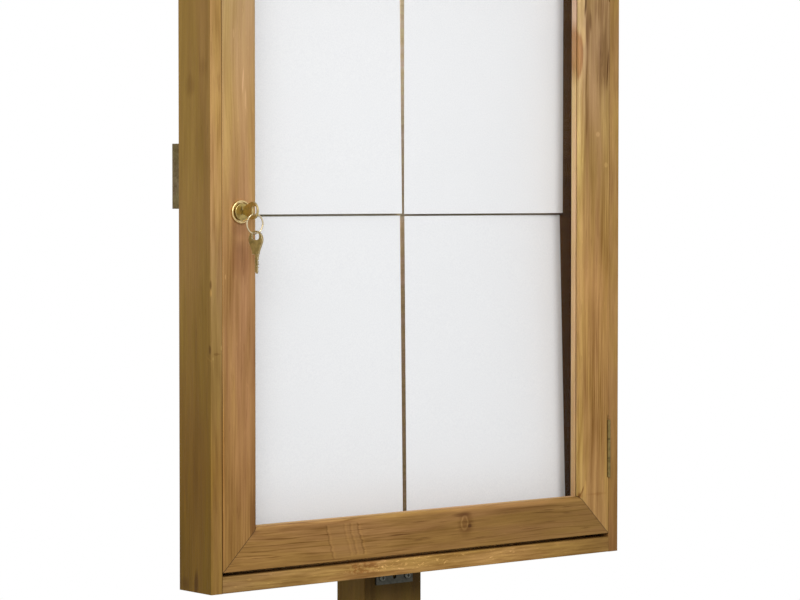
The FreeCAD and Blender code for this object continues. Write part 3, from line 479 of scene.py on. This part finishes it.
# Door: the same wood, fresher and redder
finish_nodes(
    wood("left_stile_wood", "zxy", [
        (DOOR_BOTTOM, shown(151, 111, 61)), (1.50, shown(152, 111, 63)), (1.70, shown(169, 126, 82)),
        (1.84, shown(182, 145, 93)), (DOOR_TOP, shown(180, 153, 113))],
        pith=(-0.40, -0.03), streaks=(0.40, 0.34, 0.22, 0.17), dashes=0.16, flecks=0.14, reach=1.6,
        mitred=True, liven=((1.60, 1.3), (1.90, 0.75)),
        marks=[
            # The outer edge beside the case: painted light along its outer side and edge in the gap, low
            # and high, then darker near the top
            spot(1.8300, -0.2430, 0.3400, 0.0009, (1.55, 1.60, 1.65), soft=0.2, ragged=0.2),
            spot(1.5650, -0.2430, 0.1000, 0.0009, (1.35, 1.42, 1.45), soft=0.6, ragged=0.2),
            spot(1.9800, -0.2423, 0.2300, 0.0010, (0.86, 0.86, 0.88), soft=0.3, ragged=0.2),
            # Darker at the lower inner corner; painted shadows of the lock and ring, and of the keys below
            # them; a painted highlight along the outer edge low down; then small scratches, and a stain by
            # the inner edge
            spot(1.4539, -0.2075, 0.022, 0.0050, (0.66, 0.58, 0.52), soft=0.7),
            spot(1.7240, -0.2240, 0.0085, 0.0095, (0.90, 0.86, 0.88), soft=0.4, ragged=0.2),
            spot(1.6950, -0.2230, 0.016, 0.0110, (0.86, 0.80, 0.78), soft=0.6),
            spot(1.4900, -0.2419, 0.0900, 0.0007, (1.4, 1.35, 1.25), soft=0.3, ragged=0.4),
            spot(1.6785, -0.2395, 0.0024, 0.0006, (1.45, 1.55, 1.75), ragged=0.3),
            spot(1.8574, -0.2193, 0.0110, 0.0007, (1.32, 1.34, 1.55), turn=3.0, ragged=0.4),
            spot(1.8400, -0.2165, 0.0090, 0.0007, (1.22, 1.24, 1.38), ragged=0.5),
            spot(1.8990, -0.2300, 0.0040, 0.0007, (1.20, 1.22, 1.34), ragged=0.5),
            spot(1.7020, -0.2060, 0.0150, 0.0030, (0.84, 0.78, 0.74), soft=0.6)]),
    "door_stile_left")
finish_nodes(
    wood("right_stile_wood", "zxy", [
        (DOOR_BOTTOM, shown(162, 124, 70)), (1.50, shown(168, 128, 73)), (1.66, shown(172, 130, 75)),
        (1.82, shown(165, 130, 81)), (1.90, shown(162, 129, 86)), (DOOR_TOP, shown(168, 137, 91))],
        pith=(0.45, -0.02), streaks=(0.32, 0.29, 0.33, 0.21), dashes=0.20, flecks=0.16, reach=1.6,
        mitred=True, liven=((1.70, 1.5), (1.80, 1.15)),
        marks=[
            # Painted light on the rounded inner edge, which faces the lamp on the left, strongest near the
            # top; and dark lines along it near the top
            spot(1.4900, 0.2032, 0.3200, 0.0042, (1.12, 1.21, 1.26), soft=0.4, ragged=0.3),
            spot(1.9000, 0.2042, 0.1300, 0.0052, (1.42, 1.55, 1.68), soft=0.2, ragged=0.3),
            spot(1.9120, 0.2075, 0.0100, 0.0025, (1.22, 1.24, 1.15), soft=0.5),
            spot(1.9180, 0.2102, 0.0200, 0.0008, (0.62, 0.56, 0.46), turn=-2.0, soft=0.5, ragged=0.8),
            spot(1.8700, 0.2104, 0.0260, 0.0008, (0.62, 0.56, 0.46), turn=2.0, soft=0.5, ragged=0.8),
            spot(1.8300, 0.2108, 0.0200, 0.0010, (0.70, 0.64, 0.54), soft=0.5, ragged=0.8),
            spot(1.9460, 0.2090, 0.0110, 0.0014, (0.36, 0.30, 0.24), soft=0.4),
            spot(1.7900, 0.2125, 0.0500, 0.0016, (0.80, 0.76, 0.70), soft=0.6),
            # The knot that runs into the bead
            spot(1.8927, 0.2010, 0.0250, 0.0050, (0.70, 0.54, 0.46), soft=0.15, ragged=0.2),
            spot(1.8927, 0.2000, 0.0210, 0.0040, (1.12, 1.10, 1.05), soft=0.3, ragged=0.2),
            # The smudge beside it, its crack, and chips above
            spot(1.8927, 0.2350, 0.0300, 0.0085, (0.64, 0.58, 0.54), turn=4.0, soft=0.6, ragged=1.0),
            spot(1.8815, 0.2398, 0.0190, 0.0008, (0.44, 0.34, 0.26), turn=4.0, soft=0.4),
            spot(1.9370, 0.2080, 0.0080, 0.0016, DARK, soft=0.5, ragged=1.2),
            spot(1.9250, 0.2160, 0.0110, 0.0014, DARK, soft=0.5, ragged=1.2),
            spot(1.9400, 0.2290, 0.0150, 0.0060, SMUDGE, soft=0.6, ragged=1.4),
            spot(1.9150, 0.2110, 0.0160, 0.0030, SMUDGE, soft=0.6, ragged=1.2),
            # Two filled nail holes; near the lower corner a painted glint on the inner edge and a painted
            # highlight beside the crack, then the crack and marks beside it
            spot(1.8135, 0.2263, 0.0026, 0.0026, (1.30, 1.34, 1.44), soft=0.35, ragged=0.2),
            spot(1.7827, 0.2378, 0.0024, 0.0024, (1.30, 1.34, 1.44), soft=0.35, ragged=0.2),
            spot(1.4808, 0.2010, 0.0030, 0.0008, (1.8, 1.8, 1.9), soft=0.4, ragged=0.4),
            spot(1.4560, 0.2105, 0.0070, 0.0016, (1.14, 1.14, 1.10), soft=0.5),
            spot(1.4529, 0.2060, 0.0062, 0.0007, (0.58, 0.47, 0.38), turn=24.0, soft=0.5, ragged=1.6),
            spot(1.4490, 0.2045, 0.0022, 0.0016, (0.72, 0.60, 0.50), soft=0.6, ragged=1.6),
            spot(1.4497, 0.2260, 0.0014, 0.0120, (0.86, 0.80, 0.74), soft=0.6, ragged=0.8)]),
    "door_stile_right")
finish_nodes(
    wood("bottom_rail_wood", "xzy", [
        (-DOOR_HALF, shown(142, 103, 56)), (-0.1, shown(147, 109, 60)), (0.02, shown(142, 104, 57)),
        (0.12, shown(139, 103, 55)), (DOOR_HALF, shown(138, 103, 57))],
        pith=(1.2, -0.02), ring=0.0056, rings=0.62, late=(0.72, 0.92), streaks=(0.46, 0.24, 0.26, 0.40),
        dashes=0.75, flecks=0.16, dash=(0.0009, 0.044), reach=1.3,
        liven=((-0.10, 1.25), (0.14, 0.60)), mitred=True,
        splice={"middle": -0.1003, "height": 1.4274, "half_length": 0.0189, "half_height": 0.0155,
                "slant": -0.29, "tone": shown(152, 113, 66)},
        marks=[
            # Painted light on the rounded upper edge, which faces up to the lamps
            spot(0.1500, DOOR_BOTTOM + 0.0380, 0.16, 0.0026, (1.24, 1.25, 1.30), soft=0.5, ragged=0.5),
            spot(-0.1100, DOOR_BOTTOM + 0.0385, 0.18, 0.0018, (1.20, 1.24, 1.26), soft=0.5, ragged=0.5),
            # The knot: its shade, its pale ring and its dark eye
            spot(0.0454, 1.4416, 0.0110, 0.0020, DARK, soft=0.6),
            spot(0.0505, 1.4325, 0.0085, 0.0110, (0.66, 0.58, 0.50), soft=0.5, ragged=0.4),
            spot(0.0487, 1.4335, 0.0048, 0.0076, (1.55, 1.78, 2.10), soft=0.15, ragged=0.35),
            spot(0.0490, 1.4333, 0.0031, 0.0055, (0.70, 0.62, 0.56), soft=0.25, ragged=0.35),
            spot(0.0555, 1.4300, 0.0022, 0.0020, DARK, soft=0.5),
            # Stains at the left corner and under the right half of the glass
            spot(-0.222, 1.4420, 0.0140, 0.0030, DARK, soft=0.6, ragged=1.2),
            spot(0.1300, 1.4410, 0.0500, 0.0025, (0.82, 0.78, 0.74), soft=0.6, ragged=1.2)]),
    "door_rail_bottom")
finish_nodes(
    wood("top_rail_wood", "xzy", [
        (-DOOR_HALF, shown(184, 151, 107)), (0.0, shown(177, 141, 95)), (DOOR_HALF, shown(165, 131, 87))],
        pith=(2.3, -0.02), ring=0.0028, rings=0.24, mitred=True),
    "door_rail_top", "door_corner_splines")
# Standing beads: bare wood, paler than the door, and paler still from the middle up as painted light, for
# the light that the sheets beside them throw back
finish_nodes(
    wood("standing_bead_wood", "zxy", [
        (DOOR_BOTTOM, shown(185, 147, 98)), (1.66, shown(217, 180, 132)), (1.86, shown(221, 187, 138)),
        (1.88, shown(180, 136, 91)), (1.915, shown(178, 133, 93)), (1.93, shown(214, 181, 147)),
        (DOOR_TOP, shown(214, 181, 147))],
        pith=(0.5, -0.02), rings=0.08, streaks=(0.16, 0.16, 0.16, 0.10), dashes=0.08, flecks=0.05,
        # Painted light on the beads' fronts behind the glass, in the narrow groove behind the stiles' lips
        marks=[spot(1.7400, 0.2048, 0.6000, 0.0030, (1.25, 1.25, 1.25), into=(-0.0640, 0.0010))]),
    "glazing_bead_left", "glazing_bead_right")
finish_nodes(
    wood("lying_bead_wood", "xzy", [
        (-DOOR_HALF, shown(201, 162, 112)), (DOOR_HALF, shown(196, 156, 108))],
        pith=(1.1, -0.02), rings=0.08, streaks=(0.16, 0.16, 0.16, 0.10), dashes=0.08, flecks=0.05),
    "glazing_bead_bottom", "glazing_bead_top")

# Post and batten: treated and dark. The back panel's front is pale in the middle and dark round its edges:
# the dark edges are painted shade, where it lies behind the door's stiles, and the pale middle is painted
# light, where it shows between the sheets.
PANEL_FACE = (-0.0300, 0.0040)
finish_nodes(
    # The tones darken the post just under the case, darkest at 1.38, as painted shade of the case above it
    wood("post_wood", "zxy", [
        (0.0, shown(112, 87, 38)), (1.2, shown(112, 87, 38)), (1.33, shown(106, 82, 36)),
        (1.38, shown(84, 64, 28)), (1.8, shown(96, 74, 32))],
        pith=(0.01, 0.30), ring=0.006, rings=0.05, streaks=(0.4, 0.24, 0.12, 0.10), dashes=0.05,
        bump=0.0003, rough=0.72,
        marks=[
            # Painted light on the left face just under the case, which keeps the painted shade of the tones
            # on the front only; then the darker wood along the corner
            spot(1.3700, -0.0364, 0.0700, 0.0008, (1.65, 1.65, 1.50), soft=0.2, ragged=0.1),
            spot(0.9, -0.026, 1.2, 0.003, (0.80, 0.78, 0.76), soft=0.6, ragged=0.5)]),
    "post")
finish_nodes(
    wood("batten_wood", "xzy", [
        (-0.25, shown(123, 107, 74)), (0.25, shown(129, 109, 72))],
        pith=(2.1, 0.02), ring=0.004, rings=0.20, streaks=(0.4, 0.5, 0.5, 0.4), bump=0.0005, rough=0.75),
    "cross_batten")
finish_nodes(
    wood("back_panel_wood", "xzy", [
        (-0.25, shown(112, 80, 42)), (-0.216, shown(112, 80, 42)), (-0.19, shown(232, 208, 172)),
        (0.19, shown(232, 208, 172)), (0.213, shown(112, 80, 42)), (0.25, shown(112, 80, 42))],
        pith=(1.2, 0.4), ring=0.011, sway=0.03, rings=0.10, streaks=(0.16, 0.14, 0.14, 0.12),
        dashes=0.05, flecks=0.05, reverse=(-0.0290, shown(188, 150, 102)),
        marks=[
            # Painted light and shade where the panel shows between the sheets: between the columns darker
            # low and paler high, between the rows greyer and darker on the right; then painted shade beside
            # the sheets on the right, behind the right stile
            spot(0.0, 1.5500, 0.012, 0.190, (0.78, 0.70, 0.61), soft=0.4, ragged=0.2, into=PANEL_FACE),
            spot(0.1100, 1.7330, 0.120, 0.006, (0.62, 0.66, 0.70), soft=0.5, ragged=0.2, into=PANEL_FACE),
            spot(-0.1100, 1.7330, 0.100, 0.006, (1.02, 1.18, 1.28), soft=0.5, ragged=0.2, into=PANEL_FACE),
            spot(0.0, 1.9000, 0.012, 0.150, (1.28, 1.36, 1.52), soft=0.3, ragged=0.2, into=PANEL_FACE),
            spot(0.2350, 1.5800, 0.030, 0.220, (0.62, 0.52, 0.32), soft=0.3, ragged=0.2, into=PANEL_FACE),
            spot(0.2330, 1.7400, 0.010, 0.500, (0.95, 0.80, 0.45), soft=0.4, ragged=0.2, into=PANEL_FACE)]),
    "back_panel")

finish_nodes(pane("clear_pane"), "glazing_pane")
finish_nodes(
    paper("white_sheet"), "sheet_upper_left", "sheet_upper_right", "sheet_lower_left", "sheet_lower_right")
finish_nodes(putty("grey_putty"), "sheet_putty")
finish_nodes(
    steel("bracket_zinc", shown(74, 73, 66), shown(43, 43, 38), 0.5), "angle_bracket")
finish_nodes(
    steel("bracket_screw_zinc", shown(98, 98, 90), shown(62, 62, 56), 0.4, spangle=900.0),
    "bracket_screws")
finish_nodes(
    steel("screw_zinc", shown(178, 178, 176), shown(120, 122, 122), 0.34, spangle=900.0),
    "batten_screws", "post_screws", "back_panel_pins", "door_stop_pins", "bead_pins",
    "lock_nut", "lock_cam", "cam_screw")
finish_nodes(
    brass("hinge_brass", shown(118, 102, 62), shown(88, 74, 42), 0.5, pale_edges=0.1,
          joints=KNUCKLE_ENDS),
    "hinge_lower_case_leaf", "hinge_upper_case_leaf", "hinge_lower_pin", "hinge_upper_pin",
    "hinge_case_screws", "hinge_lower_door_leaf", "hinge_upper_door_leaf", "hinge_door_screws")
finish_nodes(
    brass("lock_rim_brass", shown(216, 190, 136), shown(160, 134, 82), 0.24), "lock_barrel")
finish_nodes(
    brass("lock_plug_brass", shown(170, 148, 90), shown(96, 80, 44), 0.32), "lock_plug")
finish_nodes(
    brass("key_brass", shown(186, 164, 102), shown(138, 118, 66), 0.34, pale_edges=0.85), "lock_key")
# The spare key: the keys' brass darkened as painted shade, since its face, turned to the front, mirrors the
# bright room
finish_nodes(
    brass("spare_key_brass_painted_shade", shown(150, 128, 76), shown(106, 92, 52), 0.36, pale_edges=0.9), "spare_key")
ring_brass = brass("ring_brass", shown(206, 190, 156), shown(128, 114, 86), 0.24, pale_edges=0.0)
finish_nodes(ring_brass, "key_ring")


def split_ring_tree():
    """A flattened wire that goes round twice, standing upright round its place.

    Returns the tree, the identifiers of its inputs and their values, all by name."""
    tree = bpy.data.node_groups.new("split_ring", "GeometryNodeTree")
    inputs = {
        "Radius": ("NodeSocketFloat", RING_RADIUS), "Wire": ("NodeSocketFloat", RING_WIRE),
        "Turns": ("NodeSocketFloat", RING_TURNS), "Spread": ("NodeSocketFloat", RING_WIRE * 1.05),
        "Place": ("NodeSocketVector", tuple(RING_MIDDLE)), "Finish": ("NodeSocketMaterial", None),
    }
    identifiers = {}
    for name, (kind, _) in inputs.items():
        item = tree.interface.new_socket(name, in_out="INPUT", socket_type=kind)
        identifiers[name] = item.identifier
    tree.interface.new_socket("Geometry", in_out="OUTPUT", socket_type="NodeSocketGeometry")
    given = tree.nodes.new("NodeGroupInput")
    result = tree.nodes.new("NodeGroupOutput")

    def add(kind, values, **settings):
        made = tree.nodes.new(kind)
        for key, value in settings.items():
            setattr(made, key, value)
        for key, value in values.items():
            if isinstance(value, bpy.types.NodeSocket):
                tree.links.new(value, made.inputs[key])
            else:
                made.inputs[key].default_value = value
        return made

    spiral = add("GeometryNodeCurveSpiral", {
        "Resolution": 72, "Rotations": given.outputs["Turns"], "Start Radius": given.outputs["Radius"],
        "End Radius": given.outputs["Radius"], "Height": given.outputs["Spread"]})
    section = add("GeometryNodeCurvePrimitiveCircle", {"Resolution": 12, "Radius": given.outputs["Wire"]})
    flatter = add("GeometryNodeTransform", {
        "Geometry": section.outputs["Curve"], "Scale": (1.0, RING_FLATNESS, 1.0)})
    wire = add("GeometryNodeCurveToMesh", {
        "Curve": spiral.outputs["Curve"], "Profile Curve": flatter.outputs["Geometry"], "Fill Caps": True})
    half = add("ShaderNodeMath", {0: given.outputs["Spread"], 1: 0.5}, operation="MULTIPLY")
    behind = add("ShaderNodeCombineXYZ", {1: half.outputs[0]})
    start = add("ShaderNodeVectorMath", {
        0: given.outputs["Place"], 1: behind.outputs[0]}, operation="ADD")
    placed = add("GeometryNodeTransform", {
        "Geometry": wire.outputs["Mesh"], "Translation": start.outputs[0],
        "Rotation": (math.radians(90), 0.0, 0.0)})
    real = add("GeometryNodeRealizeInstances", {"Geometry": placed.outputs["Geometry"]})
    painted = add("GeometryNodeSetMaterial", {
        "Geometry": real.outputs["Geometry"], "Material": given.outputs["Finish"]})
    tree.links.new(painted.outputs["Geometry"], result.inputs[0])
    return tree, identifiers, {name: value for name, (_, value) in inputs.items()}


def grown(name, tree, identifiers, values):
    """Runs a tree on an empty mesh, with its inputs set, and returns the result as a plain mesh."""
    seed = bpy.data.objects.new(name + "_seed", bpy.data.meshes.new(name + "_seed"))
    bpy.context.collection.objects.link(seed)
    modifier = seed.modifiers.new("grow", "NODES")
    modifier.node_group = tree
    for key, value in values.items():
        if value is not None:
            modifier[identifiers[key]] = value
    bpy.context.view_layer.update()
    graph = bpy.context.evaluated_depsgraph_get()
    mesh = bpy.data.meshes.new_from_object(seed.evaluated_get(graph), depsgraph=graph)
    mesh.name = name
    bpy.data.objects.remove(seed)
    made = bpy.data.objects.new(name, mesh)
    bpy.context.collection.objects.link(made)
    return made


# Split ring, in place of the plain ring
ring_tree, ring_inputs, ring_sizes = split_ring_tree()
ring_sizes["Finish"] = ring_brass
split_ring = grown("split_ring", ring_tree, ring_inputs, ring_sizes)
for face in split_ring.data.polygons:
    face.use_smooth = True
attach(split_ring, "ring")
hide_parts("key_ring")

# Floor
floor_mesh = bpy.data.meshes.new("floor")
angles = [math.radians(step * 5) for step in range(72)]
rim = [(FLOOR_RADIUS * math.cos(angle), FLOOR_RADIUS * math.sin(angle), 0.0) for angle in angles]
floor_mesh.from_pydata(rim, [], [tuple(range(len(rim)))])
floor = bpy.data.objects.new("floor", floor_mesh)
bpy.context.collection.objects.link(floor)
floor_paint = Finish("pale_floor", Base_Color=(0.86, 0.86, 0.85, 1.0), Roughness=0.9)
floor_mesh.materials.append(floor_paint.material)

# Studio: white where the camera, metal or glass sees it, and dimmer as a light
world = bpy.data.worlds.new("studio")
bpy.context.scene.world = world
world.use_nodes = True
sky = world.node_tree
path = sky.nodes.new("ShaderNodeLightPath")
seen = path.outputs["Is Camera Ray"]
for ray in ("Is Glossy Ray", "Is Transmission Ray"):
    either = sky.nodes.new("ShaderNodeMath")
    either.operation = "MAXIMUM"
    sky.links.new(seen, either.inputs[0])
    sky.links.new(path.outputs[ray], either.inputs[1])
    seen = either.outputs[0]
level = sky.nodes.new("ShaderNodeMapRange")
level.inputs["To Min"].default_value = ROOM_LIGHT
level.inputs["To Max"].default_value = 1.0
sky.links.new(seen, level.inputs["Value"])
background = sky.nodes["Background"]
background.inputs["Color"].default_value = (1.0, 1.0, 1.0, 1.0)
sky.links.new(level.outputs[0], background.inputs["Strength"])


def soft_box(name, place, width, height, watts):
    """A lamp with a large lit face, turned to the middle of the case."""
    lamp = bpy.data.lights.new(name, "AREA")
    lamp.shape = "RECTANGLE"
    lamp.size = width
    lamp.size_y = height
    lamp.energy = watts
    holder = bpy.data.objects.new(name, lamp)
    holder.location = place
    holder.rotation_euler = (CASE_MIDDLE - Vector(place)).to_track_quat("-Z", "Y").to_euler()
    bpy.context.collection.objects.link(holder)


soft_box("front_light", (-0.15, -3.75, 3.85), 1.5, 1.5, 70.5)
soft_box("left_light", (-3.00, -2.60, 3.50), 2.6, 2.0, 81.0)

# Camera, from the left of the case and a little above its middle
CAMERA_PLACE = Vector((-1.79992, -2.19444, 1.75865))
YAW = math.radians(39.7728)
PITCH = math.radians(2.200)
ROLL = math.radians(0.0224)
FOCAL_LENGTH = 130.393
ahead = Vector((math.sin(YAW) * math.cos(PITCH), math.cos(YAW) * math.cos(PITCH), -math.sin(PITCH)))
level_right = Vector((math.cos(YAW), -math.sin(YAW), 0.0))
level_up = level_right.cross(ahead)
right = level_right * math.cos(ROLL) + level_up * math.sin(ROLL)
up = level_up * math.cos(ROLL) - level_right * math.sin(ROLL)
lens = bpy.data.cameras.new("camera")
lens.lens = FOCAL_LENGTH
lens.sensor_width = 36.0
camera = bpy.data.objects.new("camera", lens)
turned = Matrix((right, up, -ahead)).transposed().to_4x4()
camera.matrix_world = Matrix.Translation(CAMERA_PLACE) @ turned
bpy.context.collection.objects.link(camera)
bpy.context.scene.camera = camera
bpy.context.scene.view_settings.view_transform = "Standard"

bpy.context.view_layer.update()
